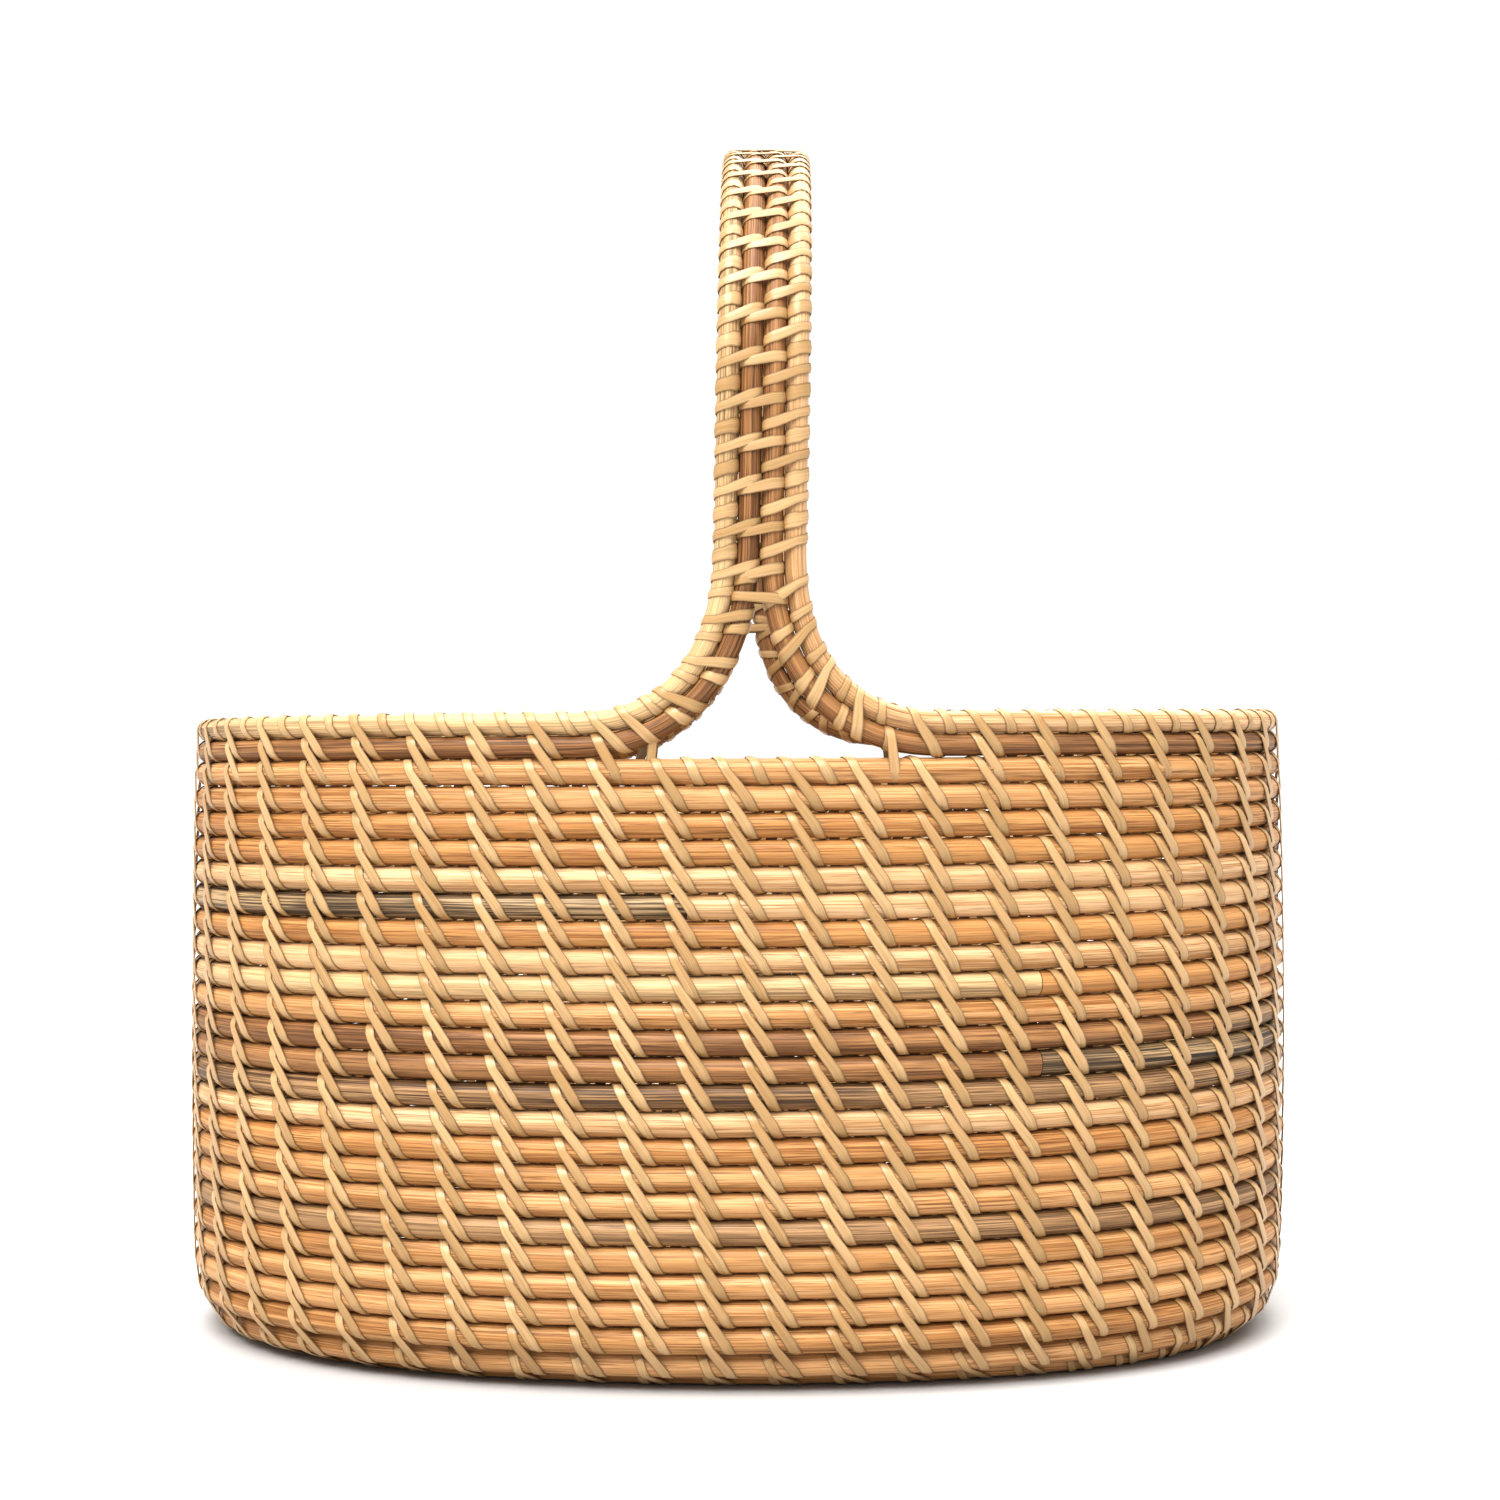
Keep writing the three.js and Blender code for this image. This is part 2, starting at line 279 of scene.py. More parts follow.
def bend_points(side, front):
    """The middle of a pair of canes from the rim (first) to where it stands upright (last)."""
    angle = np.linspace(0, np.pi / 2, 60)
    power = 2 / BEND_FULLNESS
    loose = side < 0 and not front
    reach = LOOSE_BEND_REACH if loose else BEND_REACH
    rise = LOOSE_BEND_RISE if loose else BEND_RISE
    foot = handle_middle(pair_height, front)
    rim_x = foot + side * (rod_pitch + reach)
    rim_turn = top_turn_at(rim_x, side, front)
    height = coil_height(rim_turn) + pair_above_row + rise * (1 - np.cos(angle) ** power)
    x = rim_x + handle_middle(height, front) - foot - side * reach * np.sin(angle) ** power
    turns = np.array([top_turn_at(value, math.copysign(1, value), front) for value in x])
    points = oval(rim_half_depth, turns, height)
    points[:, 0] = x
    return points, turns, rim_turn


def arch_points(side, foot_y):
    """The middle of a pair of canes over the top of the handle, from the leg at foot_y to the other leg."""
    angle = np.linspace(0, np.pi, 240)
    y = foot_y * np.cos(angle)
    z = leg_top + ARCH_RISE * np.sin(angle)
    return np.stack([handle_middle(z, y < 0) + side * rod_pitch, y, z], axis=-1)


def smoothed(points, times=12):
    for _ in range(times):
        points = points.copy()
        points[1:-1] = (points[:-2] + 2 * points[1:-1] + points[2:]) / 4
    return points


class Pair:
    """The two canes of one side of the rim and handle, followed counter-clockwise from the end of the oval
    along the rim (stretch a), over the handle and back along the rim (stretch b) to the end of the oval."""

    def __init__(self, side):
        oval_end = front_turn + QUARTER_TURN * side
        first_is_front = side < 0
        first, first_turns, first_rim = bend_points(side, first_is_front)
        second, second_turns, second_rim = bend_points(side, not first_is_front)
        into, into_turns = rim_points(oval_end, first_rim)
        away, away_turns = rim_points(second_rim, oval_end)
        arch = arch_points(side, first[-1, 1])
        up, down = np.linspace(first[-1], arch[0], 24), np.linspace(arch[-1], second[-1], 24)
        line = np.concatenate([into, first[1:], up[1:], arch[1:], down[1:], second[::-1][1:], away[1:]])
        distances = distance_along(line)
        self.along = np.arange(0, distances[-1], 1.5 * MM)
        middle = smoothed(read_off(self.along, distances, line))
        # Outwards from the rim is level, and over the arch it turns upwards.
        half_length = rim_half_depth + END_REACH
        over_arch = np.maximum(0, middle[:, 2] - leg_top) / ARCH_RISE**2
        out = np.stack([middle[:, 0] / half_length**2, middle[:, 1] / rim_half_depth**2, over_arch], axis=-1)
        across = unit(np.cross(out, np.gradient(middle, axis=0)))
        self.outer = middle + across * rod_pitch / 2
        self.inner = middle - across * rod_pitch / 2
        self.lay = Lay(self.along, self.outer, self.inner, rod_pitch)
        self.first_bend = distance_along(into)[-1]
        self.second_bend = distances[-1] - distance_along(away)[-1]
        height = middle[:, 2]
        upright = self.along[height > pair_height + TIE_RISE - 3 * MM]
        self.handle_start, self.handle_end = upright[0], upright[-1]
        self.top = self.along[np.argmax(height)]
        # Turn numbers of the row under each stretch, from the end of the oval to the top of the bend.
        under_a = np.concatenate([into_turns, first_turns[1:]])
        under_b = np.concatenate([second_turns[::-1][1:], away_turns[1:]])
        self.under = {
            "a": (distances[:len(under_a)], under_a),
            "b": (distances[-len(under_b):], under_b),
        }


# ---- Finishes ----

class Value:
    """A number that varies over a surface. Sums on it add Math nodes."""

    def __init__(self, finish, socket):
        self.finish, self.socket = finish, socket

    def _sum(self, operation, *terms):
        return self.finish.node("ShaderNodeMath", {"operation": operation}, dict(enumerate(terms)))["Value"]

    def __add__(self, other):
        return self._sum("ADD", self, other)

    def __radd__(self, other):
        return self._sum("ADD", other, self)

    def __sub__(self, other):
        return self._sum("SUBTRACT", self, other)

    def __rsub__(self, other):
        return self._sum("SUBTRACT", other, self)

    def __mul__(self, other):
        return self._sum("MULTIPLY", self, other)

    def __rmul__(self, other):
        return self._sum("MULTIPLY", other, self)

    def __truediv__(self, other):
        return self._sum("DIVIDE", self, other)

    def __pow__(self, other):
        return self._sum("POWER", self, other)

    def size(self):
        return self._sum("ABSOLUTE", self)

    def over(self, low, high):
        """0 below low, 1 above high and a smooth step between them."""
        settings = {"interpolation_type": "SMOOTHSTEP"}
        inputs = {"Value": self, "From Min": low, "From Max": high}
        return self.finish.node("ShaderNodeMapRange", settings, inputs)["Result"]


class Outputs:
    def __init__(self, finish, node):
        self.finish, self.node = finish, node

    def __getitem__(self, name):
        return Value(self.finish, self.node.outputs[name])


class Finish:
    """A material under construction."""

    def __init__(self, name):
        self.material = bpy.data.materials.new(name)
        self.material.use_nodes = True
        self.tree = self.material.node_tree
        self.shader = self.tree.nodes["Principled BSDF"]

    def node(self, kind, settings=None, inputs=None):
        node = self.tree.nodes.new(kind)
        for name, value in (settings or {}).items():
            if name == "stops":
                self._set_stops(node.color_ramp, value)
            else:
                setattr(node, name, value)
        for name, value in (inputs or {}).items():
            self.connect(node.inputs[name], value)
        return Outputs(self, node)

    def connect(self, socket, value):
        if isinstance(value, Value):
            self.tree.links.new(value.socket, socket)
        else:
            socket.default_value = value

    def _set_stops(self, ramp, stops):
        while len(ramp.elements) > 1:
            ramp.elements.remove(ramp.elements[-1])
        for i, (place, colour) in enumerate(stops):
            element = ramp.elements[0] if i == 0 else ramp.elements.new(place)
            element.position = place
            element.color = (*colour, 1)

    def mixed(self, factor, first, second, how="MIX"):
        """One colour changing to another."""
        mix = self.node("ShaderNodeMix", {"data_type": "RGBA", "blend_type": how})
        for index, value in ((0, factor), (6, first), (7, second)):
            if isinstance(value, tuple) and len(value) == 3:
                value = (*value, 1)
            self.connect(mix.node.inputs[index], value)
        return Value(self, mix.node.outputs[2])

    def set(self, **sockets):
        for name, value in sockets.items():
            self.connect(self.shader.inputs[name.replace("_", " ")], value)


def streaks(finish, grain, along, around, detail=2.0, offset=0.0):
    """Noise drawn out along a cane: a number from 0 to 1."""
    multiply, add = {"operation": "MULTIPLY"}, {"operation": "ADD"}
    scale = (along, around, around)
    stretched = finish.node("ShaderNodeVectorMath", multiply, {0: grain, 1: scale})["Vector"]
    moved = finish.node("ShaderNodeVectorMath", add, {0: stretched, 1: (offset, offset, offset)})
    inputs = {"Vector": moved["Vector"], "Scale": 1.0, "Detail": detail, "Roughness": 0.55}
    return finish.node("ShaderNodeTexNoise", {}, inputs)["Fac"]


def cane_finish(name, dark, middle, light, stain, stained, contrast):
    """Peeled rattan cane: long fibres, patches that took more of the smoke or the sun, and darker pores."""
    finish = Finish(name)
    grain = finish.node("ShaderNodeAttribute", {"attribute_name": "grain"})["Vector"]
    broad = streaks(finish, grain, 5, 300)
    fine = streaks(finish, grain, 18, 2100, 3, 4.1)
    pores = streaks(finish, grain, 70, 3000, 1, 8.7)
    patches = streaks(finish, grain, 16, 90, 3, 2.3)
    mixed = 0.5 + contrast * ((broad - 0.5) * 1.2 + (fine - 0.5) * 1.9)
    stops = [(0.2, dark), (0.5, middle), (0.8, light)]
    colour = finish.node("ShaderNodeValToRGB", {"stops": stops}, {"Fac": mixed})["Color"]
    colour = finish.mixed(patches.over(0.5, 0.72) * stained, colour, stain)
    colour = finish.mixed(pores.over(0.57, 0.7) * 0.55, colour, tuple(0.4 * c for c in dark))
    tone = streaks(finish, grain, 3.1, 20, 1, 6.2)
    colour = finish.mixed((tone - 0.42).over(0, 0.3) * 0.35, colour, tuple(min(1, 1.12 * c) for c in light))
    height = fine * 0.7 + broad * 0.5 - pores.over(0.6, 0.74) * 0.3
    inputs = {"Height": height, "Strength": 0.5, "Distance": 0.4 * MM}
    relief = finish.node("ShaderNodeBump", {}, inputs)["Normal"]
    finish.set(Base_Color=colour, Roughness=0.5 + (fine - 0.5) * 0.3, Normal=relief)
    finish.set(Coat_Weight=0.12 * broad, Coat_Roughness=0.3, Specular_IOR_Level=0.4)
    return finish.material


def strip_finish(name, pale, deep, olive):
    """Split cane: shiny skin outside, long fibres, and dark thin edges where it was split."""
    finish = Finish(name)
    fibre = finish.node("ShaderNodeAttribute", {"attribute_name": "fibre"})["Vector"]
    parts = finish.node("ShaderNodeSeparateXYZ", {}, {"Vector": fibre})
    across, tint = parts["Y"], parts["Z"]
    multiply = {"operation": "MULTIPLY"}
    stretched = finish.node("ShaderNodeVectorMath", multiply, {0: fibre, 1: (60, 2.2, 9)})["Vector"]
    inputs = {"Vector": stretched, "Scale": 1.0, "Detail": 3.0, "Roughness": 0.6}
    patches = finish.node("ShaderNodeTexNoise", {}, inputs)["Fac"]
    stretched = finish.node("ShaderNodeVectorMath", multiply, {0: fibre, 1: (25, 9, 5)})["Vector"]
    inputs = {"Vector": stretched, "Scale": 1.0, "Detail": 2.0, "Roughness": 0.5}
    lines = finish.node("ShaderNodeTexNoise", {}, inputs)["Fac"]
    colour = finish.mixed(0.1 + tint * 0.75 + (lines - 0.5) * 1.8, pale, deep)
    colour = finish.mixed(patches.over(0.45, 0.7) * 0.6, colour, olive)
    edge = across.size().over(0.68, 1.0)
    colour = finish.mixed(edge * 0.7, colour, tuple(0.4 * c for c in deep))
    inputs = {"Height": lines, "Strength": 0.3, "Distance": 0.2 * MM}
    relief = finish.node("ShaderNodeBump", {}, inputs)["Normal"]
    finish.set(Base_Color=colour, Roughness=0.38 + (patches - 0.5) * 0.3, Normal=relief)
    finish.set(Coat_Weight=0.25 - edge * 0.2, Coat_Roughness=0.22, Specular_IOR_Level=0.5)
    return finish.material


# Colours of the darkest, middle and lightest fibres, then the stain, how much of it there is, and how
# strongly the fibres show.
CANE_COLOURS = {
    "honey": (
        (0.28, 0.125, 0.032), (0.48, 0.26, 0.105), (0.60, 0.37, 0.185), (0.34, 0.165, 0.055), 0.4, 1.0,
    ),
    "tan": (
        (0.25, 0.11, 0.028), (0.44, 0.23, 0.085), (0.55, 0.33, 0.15), (0.29, 0.13, 0.042), 0.45, 1.0,
    ),
    "orange": (
        (0.235, 0.098, 0.027), (0.425, 0.21, 0.07), (0.53, 0.3, 0.12), (0.27, 0.11, 0.032), 0.4, 1.0,
    ),
    "pale": (
        (0.36, 0.19, 0.07), (0.55, 0.35, 0.185), (0.66, 0.46, 0.275), (0.44, 0.25, 0.11), 0.35, 1.0,
    ),
    "red_brown": (
        (0.11, 0.047, 0.016), (0.27, 0.128, 0.047), (0.41, 0.225, 0.095), (0.15, 0.072, 0.03), 0.5, 1.0,
    ),
    "umber": (
        (0.075, 0.038, 0.016), (0.25, 0.14, 0.064), (0.42, 0.265, 0.135), (0.12, 0.07, 0.034), 0.6, 1.2,
    ),
    "grey": (
        (0.035, 0.021, 0.011), (0.16, 0.098, 0.048), (0.44, 0.31, 0.17), (0.07, 0.042, 0.022), 0.6, 1.4,
    ),
    "drab": (
        (0.19, 0.115, 0.052), (0.44, 0.285, 0.14), (0.60, 0.43, 0.24), (0.23, 0.155, 0.08), 0.6, 1.2,
    ),
}
CANES = {name: cane_finish(f"{name}_cane", *colours) for name, colours in CANE_COLOURS.items()}
SPLIT_CANE = strip_finish("split_cane", (0.57, 0.385, 0.205), (0.385, 0.23, 0.092), (0.36, 0.26, 0.12))
BASE_FINISHES = ["honey", "tan", "honey", "tan", "orange", "honey", "tan"]  # from the core cane outwards
WALL_FINISHES = [
    "honey", "tan", "honey", "honey", "tan", "umber", "honey", "tan", "orange", "pale", "umber", "red_brown",
    "grey", "red_brown", "umber", "honey", "drab", "orange", "pale", "orange", "grey", "pale", "orange",
    "honey", "tan",
]


# ---- Making straight work and laying it ----

CANE_STEP = 4 * MM
CANE_SIDES = 14
CANE_OVALNESS = 0.014  # share of its width by which a cane swells and thins
WANDER_OUTWARDS = 0.16 * MM  # of a cane from its line
WANDER_UPWARDS = 0.12 * MM
WANDER_WAVES = (0.31, 0.17, 0.083, 0.047)  # lengths in metres

SWING = 0.9  # how much of a quarter turn a strip takes to swing to a new direction
SOFTENING = 0.8 * MM  # over which its line is evened
NARROWING = 0.16  # share of its width by which a turn may be narrower
EDGE_SHARE = 0.24  # share of its lean that a stitch over two canes makes over the outside of each
WIDTH_ROUND = [0.86, 0.84, 1.06, 0.86]  # on the top, outside, below the outside, and on the top again


def only(obj):
    bpy.ops.object.select_all(action="DESELECT")
    obj.select_set(True)
    bpy.context.view_layer.objects.active = obj


def repeat(obj, count, offset, merge):
    """Copies a straight piece along X."""
    array = obj.modifiers.new("repeat", "ARRAY")
    array.count = count
    array.use_relative_offset = False
    array.use_constant_offset = True
    array.constant_offset_displace = (offset, 0, 0)
    array.use_merge_vertices = merge
    array.merge_threshold = 0.02 * MM
    bpy.ops.object.modifier_apply(modifier=array.name)


def points_of(obj):
    flat = np.empty(len(obj.data.vertices) * 3)
    obj.data.vertices.foreach_get("co", flat)
    return flat.reshape(-1, 3)


def set_points(obj, points):
    obj.data.vertices.foreach_set("co", np.ascontiguousarray(points, dtype=float).ravel())
    obj.data.update()


def write_attribute(obj, name, values):
    attribute = obj.data.attributes.new(name, "FLOAT_VECTOR", "POINT")
    attribute.data.foreach_set("vector", np.ascontiguousarray(values, dtype=float).ravel())


def finished(obj, name, material, nodes):
    """Shades a laid piece smooth, faces it outwards and hands it to the frame."""
    obj.name = name
    obj.data.name = name
    only(obj)
    bpy.ops.object.mode_set(mode="EDIT")
    bpy.ops.mesh.select_all(action="SELECT")
    bpy.ops.mesh.remove_doubles(threshold=0.01 * MM)
    bpy.ops.mesh.normals_make_consistent(inside=False)
    bpy.ops.object.mode_set(mode="OBJECT")
    bpy.ops.object.shade_smooth_by_angle(angle=math.radians(50))
    obj.data.materials.clear()
    obj.data.materials.append(material)
    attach(obj, "root")
    if nodes:
        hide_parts(*nodes)


def ripple(x, size, seed):
    """A smooth, irregular wander of about the given size along a cane."""
    draw = random.Random(seed)
    total = 0 * x
    for wave in WANDER_WAVES:
        total = total + draw.uniform(0.4, 1) * np.sin(2 * np.pi * (x / wave + draw.random()))
    return size * total / 2.2


def cane(node, start, end, width, lay, finish, below=0.0):
    """The round cane that stands for a node: cut to length straight, made a little uneven, and laid."""
    name = f"round_{node}"
    count = max(2, round((end - start) / CANE_STEP))
    step = (end - start) / count
    bpy.ops.object.select_all(action="DESELECT")
    bpy.ops.mesh.primitive_cylinder_add(
        vertices=CANE_SIDES, radius=width / 2, depth=step, end_fill_type="NOTHING",
        rotation=(0, math.pi / 2, 0),
    )
    obj = bpy.context.object
    bpy.ops.object.transform_apply(location=True, rotation=True, scale=True)
    repeat(obj, count, step, True)
    bpy.ops.object.mode_set(mode="EDIT")
    bpy.ops.mesh.select_all(action="DESELECT")
    bpy.ops.mesh.select_non_manifold()
    bpy.ops.mesh.edge_face_add()
    bpy.ops.object.mode_set(mode="OBJECT")
    straight = points_of(obj)
    straight[:, 0] += start + step / 2
    seed = sum(name.encode())
    grain = straight.copy()
    grain[:, 0] += seed * 0.37
    x = straight[:, 0]
    swell = 1 + ripple(x, CANE_OVALNESS, seed)
    straight[:, 1] = straight[:, 1] * swell + ripple(x, WANDER_OUTWARDS, seed + 1)
    straight[:, 2] = straight[:, 2] * swell + ripple(x, WANDER_UPWARDS, seed + 2) - below
    set_points(obj, lay.place(straight))
    write_attribute(obj, "grain", grain)
    finished(obj, name, CANES[finish], [node])


def straight_strip(count, length, cuts, width):
    """Flat split cane lying straight along X, crowned along its middle, with a crease line at each cut."""
    bpy.ops.object.select_all(action="DESELECT")
    bpy.ops.mesh.primitive_grid_add(x_subdivisions=len(cuts) - 1, y_subdivisions=2, size=1)
    obj = bpy.context.object
    flat = points_of(obj)
    column = np.rint((flat[:, 0] + 0.5) * (len(cuts) - 1)).astype(int)
    flat[:, 0] = np.asarray(cuts)[column]
    flat[:, 1] *= width
    flat[:, 2] = np.where(abs(flat[:, 1]) < width / 4, STRIP_CROWN, 0) + STRIP_EDGE
    set_points(obj, flat)
    solidify = obj.modifiers.new("thickness", "SOLIDIFY")
    solidify.thickness = STRIP_EDGE
    solidify.offset = -1
    bpy.ops.object.modifier_apply(modifier=solidify.name)
    in_one = len(obj.data.vertices)
    repeat(obj, count, length, False)
    return obj, in_one


def creases(quarter, apart):
    """Distances round a turn where the strip creases, closest together on the outside."""
    level = [0] if apart else []
    top = [quarter * share for share in (0, 0.33, 0.67, 1)]
    outside = [quarter * (1 + share) + apart for share in level + [0.33, 0.67, 1]]
    below = [quarter * (2 + share) + apart for share in (0.5, 1)]
    inside = [quarter * (3 + share) + 2 * apart for share in level + [0.5, 1]]
    return top + outside + below + inside


def wrap(name, lay, start, count, period, radius, apart, lean, width=STRIP_WIDTH, below=0.0, ring=False,
         uneven=UNEVEN_ROW, nodes=()):
    """Split cane wound count times round two canes (or round one, where apart is 0), one turn to a period.
    A ring comes back to its own start."""
    quarter = radius * math.pi / 2
    length = 4 * quarter + 2 * apart
    obj, in_one = straight_strip(count, length, creases(quarter, apart), width)
    flat = points_of(obj)
    turn_number = np.arange(len(flat)) // in_one
    run = flat[:, 0] - turn_number * length
    across, height = flat[:, 1], flat[:, 2]
    draw = random.Random(sum(name.encode()))
    tint = np.array([draw.random() for _ in range(count)])
    shift = np.array([draw.gauss(0, 1) for _ in range(count)]) * uneven
    narrow = 1 - NARROWING * np.array([draw.random() for _ in range(count)])
    along_strip = flat[:, 0] + sum(name.encode()) * 0.11
    fibre = np.stack([along_strip, across / (width / 2), tint[turn_number]], axis=-1)

    # Distance along the canes at each distance round them. Over the outside it is steepest where the strip
    # crosses from one cane to the other.
    edge_share = EDGE_SHARE if apart else 0.5
    knots = [0, quarter, quarter + apart, 2 * quarter + apart, length]
    travel = [0, edge_share * lean, (1 - edge_share) * lean, lean, 0 if ring else period]

    def centre(distance):
        return np.interp(distance, knots, travel)

    swing = SWING * quarter
    ahead, behind = np.minimum(run + swing / 2, length), np.maximum(run - swing / 2, 0)
    slope = np.arctan((centre(ahead) - centre(behind)) / swing)
    before, after = np.maximum(run - SOFTENING, 0), np.minimum(run + SOFTENING, length)
    soft_centre = (centre(before) + centre(run) + centre(after)) / 3

    # Where one turn meets the next, both have the same place, slope and width.
    ends = (run < 1e-6) | (run > length - 1e-6)
    end_slope = 0 if ring else math.atan((travel[1] / quarter + (period - lean) / (length / 2)) / 2)
    slope = np.where(ends, end_slope, slope)
    soft_centre = np.where(ends, centre(run), soft_centre)
    freedom = np.sin(np.pi * run / length) ** 2
    taper = np.interp(run, [0, quarter, quarter + apart, length], WIDTH_ROUND)
    wide = across * taper * (1 - (1 - narrow[turn_number]) * freedom)
    x = start + turn_number * period + soft_centre + shift[turn_number] * freedom + wide * np.cos(slope)
    around = (run - wide * np.sin(slope)) % length

    # Round the outline of the two canes, starting at the top of the upper one.
    corners = knots[:4] + [3 * quarter + apart, 3 * quarter + 2 * apart, length]
    turned = np.interp(around, corners, [0, 0.5, 0.5, 1, 1.5, 1.5, 2]) * np.pi
    sunk = np.interp(around, corners, [0, 0, 1, 1, 1, 0, 0]) * apart
    r = radius + height
    straight = np.stack([x, r * np.sin(turned), r * np.cos(turned) - sunk - below], axis=-1)
    set_points(obj, lay.place(straight))
    write_attribute(obj, "fibre", fibre)
    finished(obj, name, SPLIT_CANE, nodes)


# ---- The base and the wall ----

def make_coil():
    for i, finish in enumerate(WALL_FINISHES):
        start = coil_distance(WALL_JOINS[i])
        end = coil_distance(WALL_JOINS[i + 1]) - BUTT_GAP
        cane(f"wall_cane_{i + 1:02d}", start, end, wide_cane, wall_lay, finish)
    # Joins in the base are moved to the nearest long side.
    joins = [round(2 * base_start * (1 - share)) / 2 for share in BASE_JOINS]
    ends = [base_start] + joins + [WALL_JOINS[0]]
    for i, finish in enumerate(BASE_FINISHES):
        node = f"base_cane_{i}" if i else "base_core_cane"
        start, end = base_distance(ends[i]), base_distance(ends[i + 1]) - BUTT_GAP
        cane(node, start, end, wide_cane, base_lay, finish)


def lash_coil():
    """A slanting stitch over each row and the row below it. The first few run under the basket's foot."""
    first = math.ceil(LASHING_START * row_length / stitch_period)
    last = math.floor(coil_distance(COIL_END - 0.01) / stitch_period)
    for row, begin in enumerate(range(first, last, STITCHES_IN_ROW)):
        count = min(STITCHES_IN_ROW, last - begin)
        wrap(f"wall_lashing_{row:02d}", wall_lay, begin * stitch_period, count, stitch_period, cane_lashing,
             row_pitch, STITCH_LEAN)
    in_base = int(base_distance(LASHING_START) / stitch_period)
    third = in_base // 3
    for part, count in enumerate([third, third, in_base - 2 * third]):
        wrap(f"base_lashing_{part}", base_lay, part * third * stitch_period, count, stitch_period,
             cane_lashing, row_pitch, STITCH_LEAN)


# ---- The rim and the handle ----

def make_pair(side, name, outer_finish, inner_finish):
    pair = Pair(side)
    end = pair.along[-1] - BUTT_GAP
    cane(f"{name}_outer_handle_cane", 0, end, wide_rod, pair.lay, outer_finish)
    cane(f"{name}_inner_handle_cane", 0, end, wide_rod, pair.lay, inner_finish, rod_pitch)
    return pair


def rim_stitches(pair, zone, start, end, rows_up):
    """Where the first stitch stands on the rim, in line with the wall's columns, and how many follow it."""
    distances, turns = pair.under[zone]
    along = np.arange(start, end, 0.2 * MM)
    past = (coil_distance(np.interp(along, distances, turns)) + rows_up * row_length) % stitch_period
    begin = along[np.argmax(np.diff(past) < 0) + 1]
    room_for_last = 11 * MM if zone == "a" else stitch_period
    return begin, int((end - room_for_last - begin) / stitch_period) + 1


def lash_rim(pair, name):
    """On the rim: a long stitch over both canes, and a short wrap round the upper one between each two."""
    zones = [
        ("a", RIM_END_ROOM, pair.first_bend + RIM_LASHING_STOPS),
        ("b", pair.second_bend - RIM_LASHING_STOPS, pair.along[-1] - RIM_END_ROOM),
    ]
    for zone, start, end in zones:
        begin, count = rim_stitches(pair, zone, start, end, 2)
        wrap(f"{name}_rim_long_{zone}", pair.lay, begin, count, stitch_period, rod_lashing, rod_pitch,
             RIM_STITCH_LEAN)
        between = count if zone == "a" else count - 1
        wrap(f"{name}_rim_short_{zone}", pair.lay, begin + 0.52 * stitch_period, between, stitch_period,
             rod_lashing, 0, RIM_WRAP_LEAN, ring=True)


def lash_rim_to_wall(pair, name):
    """Over the lower cane of the rim and the top row of the wall, and a tie between them where they part."""
    pitch = (CANE_WIDTH + ROD_WIDTH) / 2 + RIM_GAP
    radius = rod_lashing + OVER_LASHING
    reach = 34 * MM  # of the lay beyond the stitches
    for zone, (distances, turns) in pair.under.items():
        if zone == "a":
            first, last = distances[0] + RIM_END_ROOM, pair.first_bend + WALL_STITCHES_STOP[zone]
            tie_at, tie_radius = pair.first_bend + DROP_TIE_AT[zone], DROP_TIE_RADIUS
        else:
            first, last = pair.second_bend - WALL_STITCHES_STOP[zone], distances[-1] - RIM_END_ROOM
            tie_at, tie_radius = pair.second_bend - DROP_TIE_AT[zone], radius
        coil_ends_at = np.interp(COIL_END - 0.012, turns, distances)
        last = min(last, coil_ends_at)
        grid = pair.along[(pair.along > first - reach) & (pair.along < last + reach)]
        grid = grid[(grid >= distances[0]) & (grid <= distances[-1])]
        row = np.interp(grid, distances, turns)
        upper = read_off(grid, pair.along, pair.inner)
        lay = Lay(grid, upper, coil(np.minimum(row, COIL_END)), pitch)
        begin, count = rim_stitches(pair, zone, first, last, 1)
        wrap(f"{name}_rim_to_wall_{zone}", lay, begin, count, stitch_period, radius, pitch, RIM_TO_WALL_LEAN)
        if tie_at < coil_ends_at:
            wrap(f"{name}_drop_tie_{zone}", lay, tie_at, 1, stitch_period, tie_radius, pitch, DROP_TIE_LEAN,
                 ring=True, uneven=0)


def lash_branches(pair, name):
    """From the rim to the handle: one strip over both canes, one round the outer and one round the inner."""
    zones = [
        ("a", pair.first_bend + BRANCH_LASHING_STARTS, pair.handle_start),
        ("b", pair.handle_end, pair.second_bend - BRANCH_LASHING_STARTS),
    ]
    for zone, start, end in zones:
        count = round((end - start) / BRANCH_STEP)
        step = (end - start) / count
        wrap(f"{name}_branch_long_{zone}", pair.lay, start, count, step, rod_lashing, rod_pitch,
             BRANCH_STITCH_LEAN, uneven=UNEVEN_BRANCH)
        for rank, share, below in (("outer", 0.62, 0.0), ("inner", 0.95, rod_pitch)):
            wrap(f"{name}_branch_{rank}_{zone}", pair.lay, start + share * step, count, step, rod_lashing, 0,
                 BRANCH_WRAP_LEAN, ring=True, uneven=UNEVEN_BRANCH, below=below)


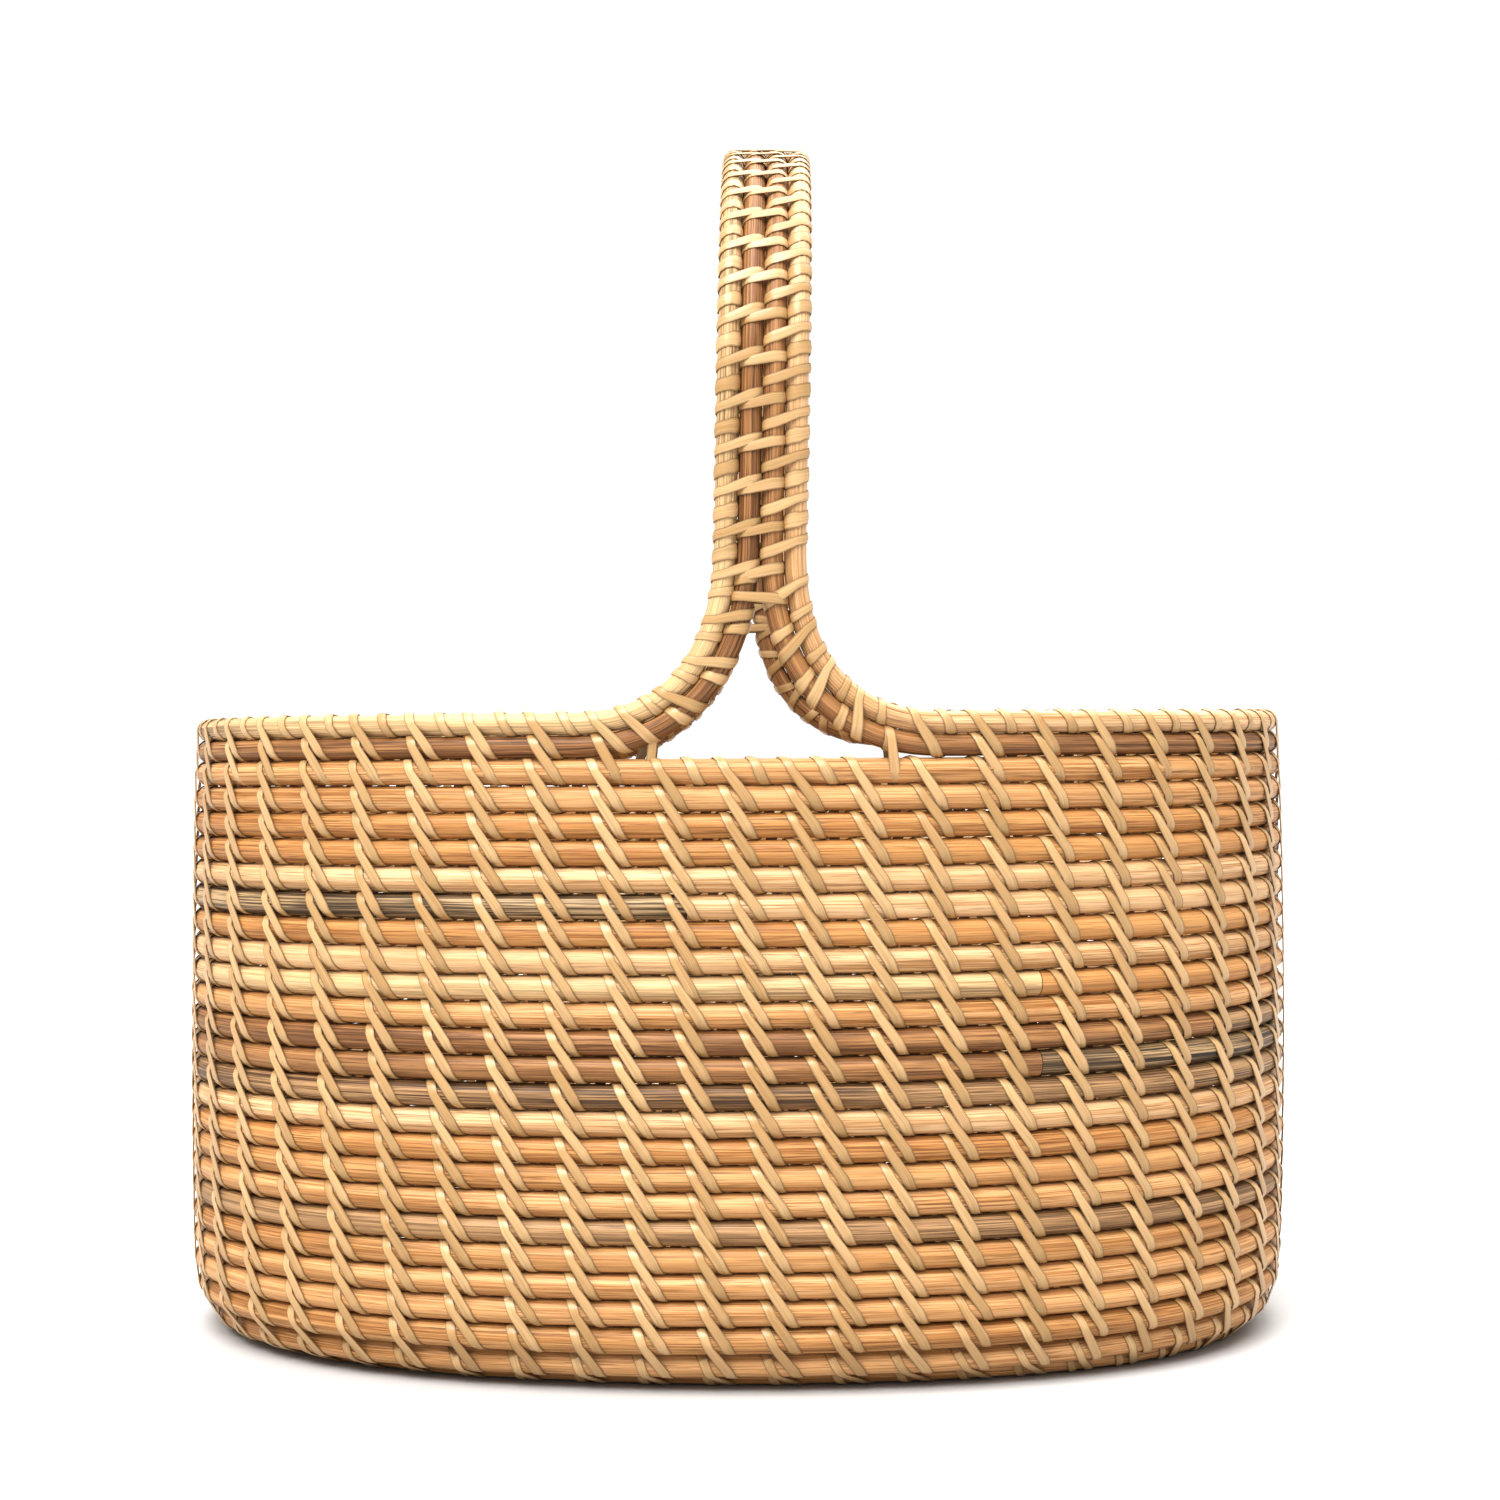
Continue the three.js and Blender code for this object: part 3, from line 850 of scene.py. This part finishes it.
def lash_handle(left, right):
    """On the handle: at each step three strips, each over two canes, and one round each outer cane."""
    count = round((left.handle_end - left.handle_start) / HANDLE_STEP)
    step = (left.handle_end - left.handle_start) / count
    for name, pair in (("left", left), ("right", right)):
        wrap(f"handle_lashing_{name}", pair.lay, pair.handle_start, count, step, rod_lashing, rod_pitch,
             HANDLE_STITCH_LEAN, uneven=UNEVEN_HANDLE)
        wrap(f"handle_wraps_{name}", pair.lay, pair.handle_start + 0.5 * step, count - 1, step, rod_lashing,
             0, HANDLE_WRAP_LEAN, width=WIDE_STRIP, ring=True, uneven=UNEVEN_HANDLE)
    inside = (left.along > left.handle_start - step) & (left.along < left.handle_end + step)
    along = left.along[inside]
    opposite = right.top - (along - left.top)
    lay = Lay(along, left.inner[inside], read_off(opposite, right.along, right.inner), rod_pitch)
    wrap("handle_lashing_middle", lay, left.handle_start + 0.02 * step, count, step, rod_lashing, rod_pitch,
         HANDLE_STITCH_LEAN, uneven=UNEVEN_HANDLE)
    ties = {
        "front": left.handle_start - TIE_BELOW_HANDLE["front"],
        "back": left.handle_end + TIE_BELOW_HANDLE["back"],
    }
    for name, where in ties.items():
        wrap(f"{name}_tie", lay, where, 1, step, rod_lashing + TIE_OVER_LASHING, rod_pitch, TIE_LEAN,
             ring=True, uneven=0, nodes=[f"{name}_crotch_tie"])


def lash_gap():
    """Under the handle, front and back: a short wrap round the top row between each two stitches."""
    front = [top_turn_at(x, 1, True) for x in FRONT_GAP]
    back = [COIL_END - turns for turns in BACK_GAP]
    for zone, ends in (("front", front), ("back", back)):
        start, end = coil_distance(np.array(ends))
        first = math.ceil(start / stitch_period)
        count = max(1, int((end - first * stitch_period) / stitch_period))
        wrap(f"{zone}_gap_wraps", wall_lay, (first + 0.5) * stitch_period, count, stitch_period, cane_lashing,
             0, GAP_WRAP_LEAN, ring=True)


make_coil()
lash_coil()
left_pair = make_pair(-1, "left", "drab", "red_brown")
right_pair = make_pair(1, "right", "pale", "red_brown")
for side_name, side_pair in (("left", left_pair), ("right", right_pair)):
    lash_rim(side_pair, side_name)
    lash_rim_to_wall(side_pair, side_name)
    lash_branches(side_pair, side_name)
lash_handle(left_pair, right_pair)
lash_gap()


# ---- Floor, light and camera ----

FLOOR_SIZE = 60
FLOOR_DROP = 0.9 * MM  # the lashing reaches this far below the base
LIGHT_AIM = (0, 0, 0.15)
CAMERA_PLACE = (0.0042, -0.845, 0.197)
SENSOR_WIDTH = 36  # millimetres
LENS = 57.4


def sun(name, strength, place, spread):
    """A soft, distant light that shines from a place towards the basket."""
    light = bpy.data.lights.new(name, "SUN")
    light.energy = strength
    light.angle = math.radians(spread)
    holder = bpy.data.objects.new(name, light)
    bpy.context.collection.objects.link(holder)
    holder.location = place
    x, y, z = (a - b for a, b in zip(LIGHT_AIM, place))
    holder.rotation_euler = (math.atan2(math.hypot(x, y), -z), 0, math.atan2(-x, y))


def make_studio():
    bpy.ops.object.select_all(action="DESELECT")
    bpy.ops.mesh.primitive_plane_add(size=FLOOR_SIZE, location=(0, 0, -FLOOR_DROP))
    floor = bpy.context.object
    floor.name = "floor"
    finish = Finish("white_floor")
    finish.set(Base_Color=(0.52, 0.515, 0.51, 1), Roughness=0.8, Specular_IOR_Level=0.2)
    floor.data.materials.append(finish.material)

    world = bpy.data.worlds.new("studio")
    bpy.context.scene.world = world
    world.use_nodes = True
    background = world.node_tree.nodes["Background"]
    background.inputs["Color"].default_value = (1, 1, 1, 1)
    background.inputs["Strength"].default_value = 0.8

    sun("key", 3.6, (-0.5, -1.0, 1.9), 45)
    sun("top", 2.2, (0.5, 0.7, 2.0), 70)


def make_camera():
    lens = bpy.data.cameras.new("camera")
    lens.sensor_width = SENSOR_WIDTH
    lens.lens = LENS
    lens.clip_start = 0.05
    camera = bpy.data.objects.new("camera", lens)
    bpy.context.collection.objects.link(camera)
    camera.location = CAMERA_PLACE
    camera.rotation_euler = (math.pi / 2, 0, 0)
    bpy.context.scene.camera = camera
    view = bpy.context.scene.view_settings
    view.view_transform = "Standard"
    view.exposure = 0.36
    view.gamma = 0.78


make_studio()
make_camera()
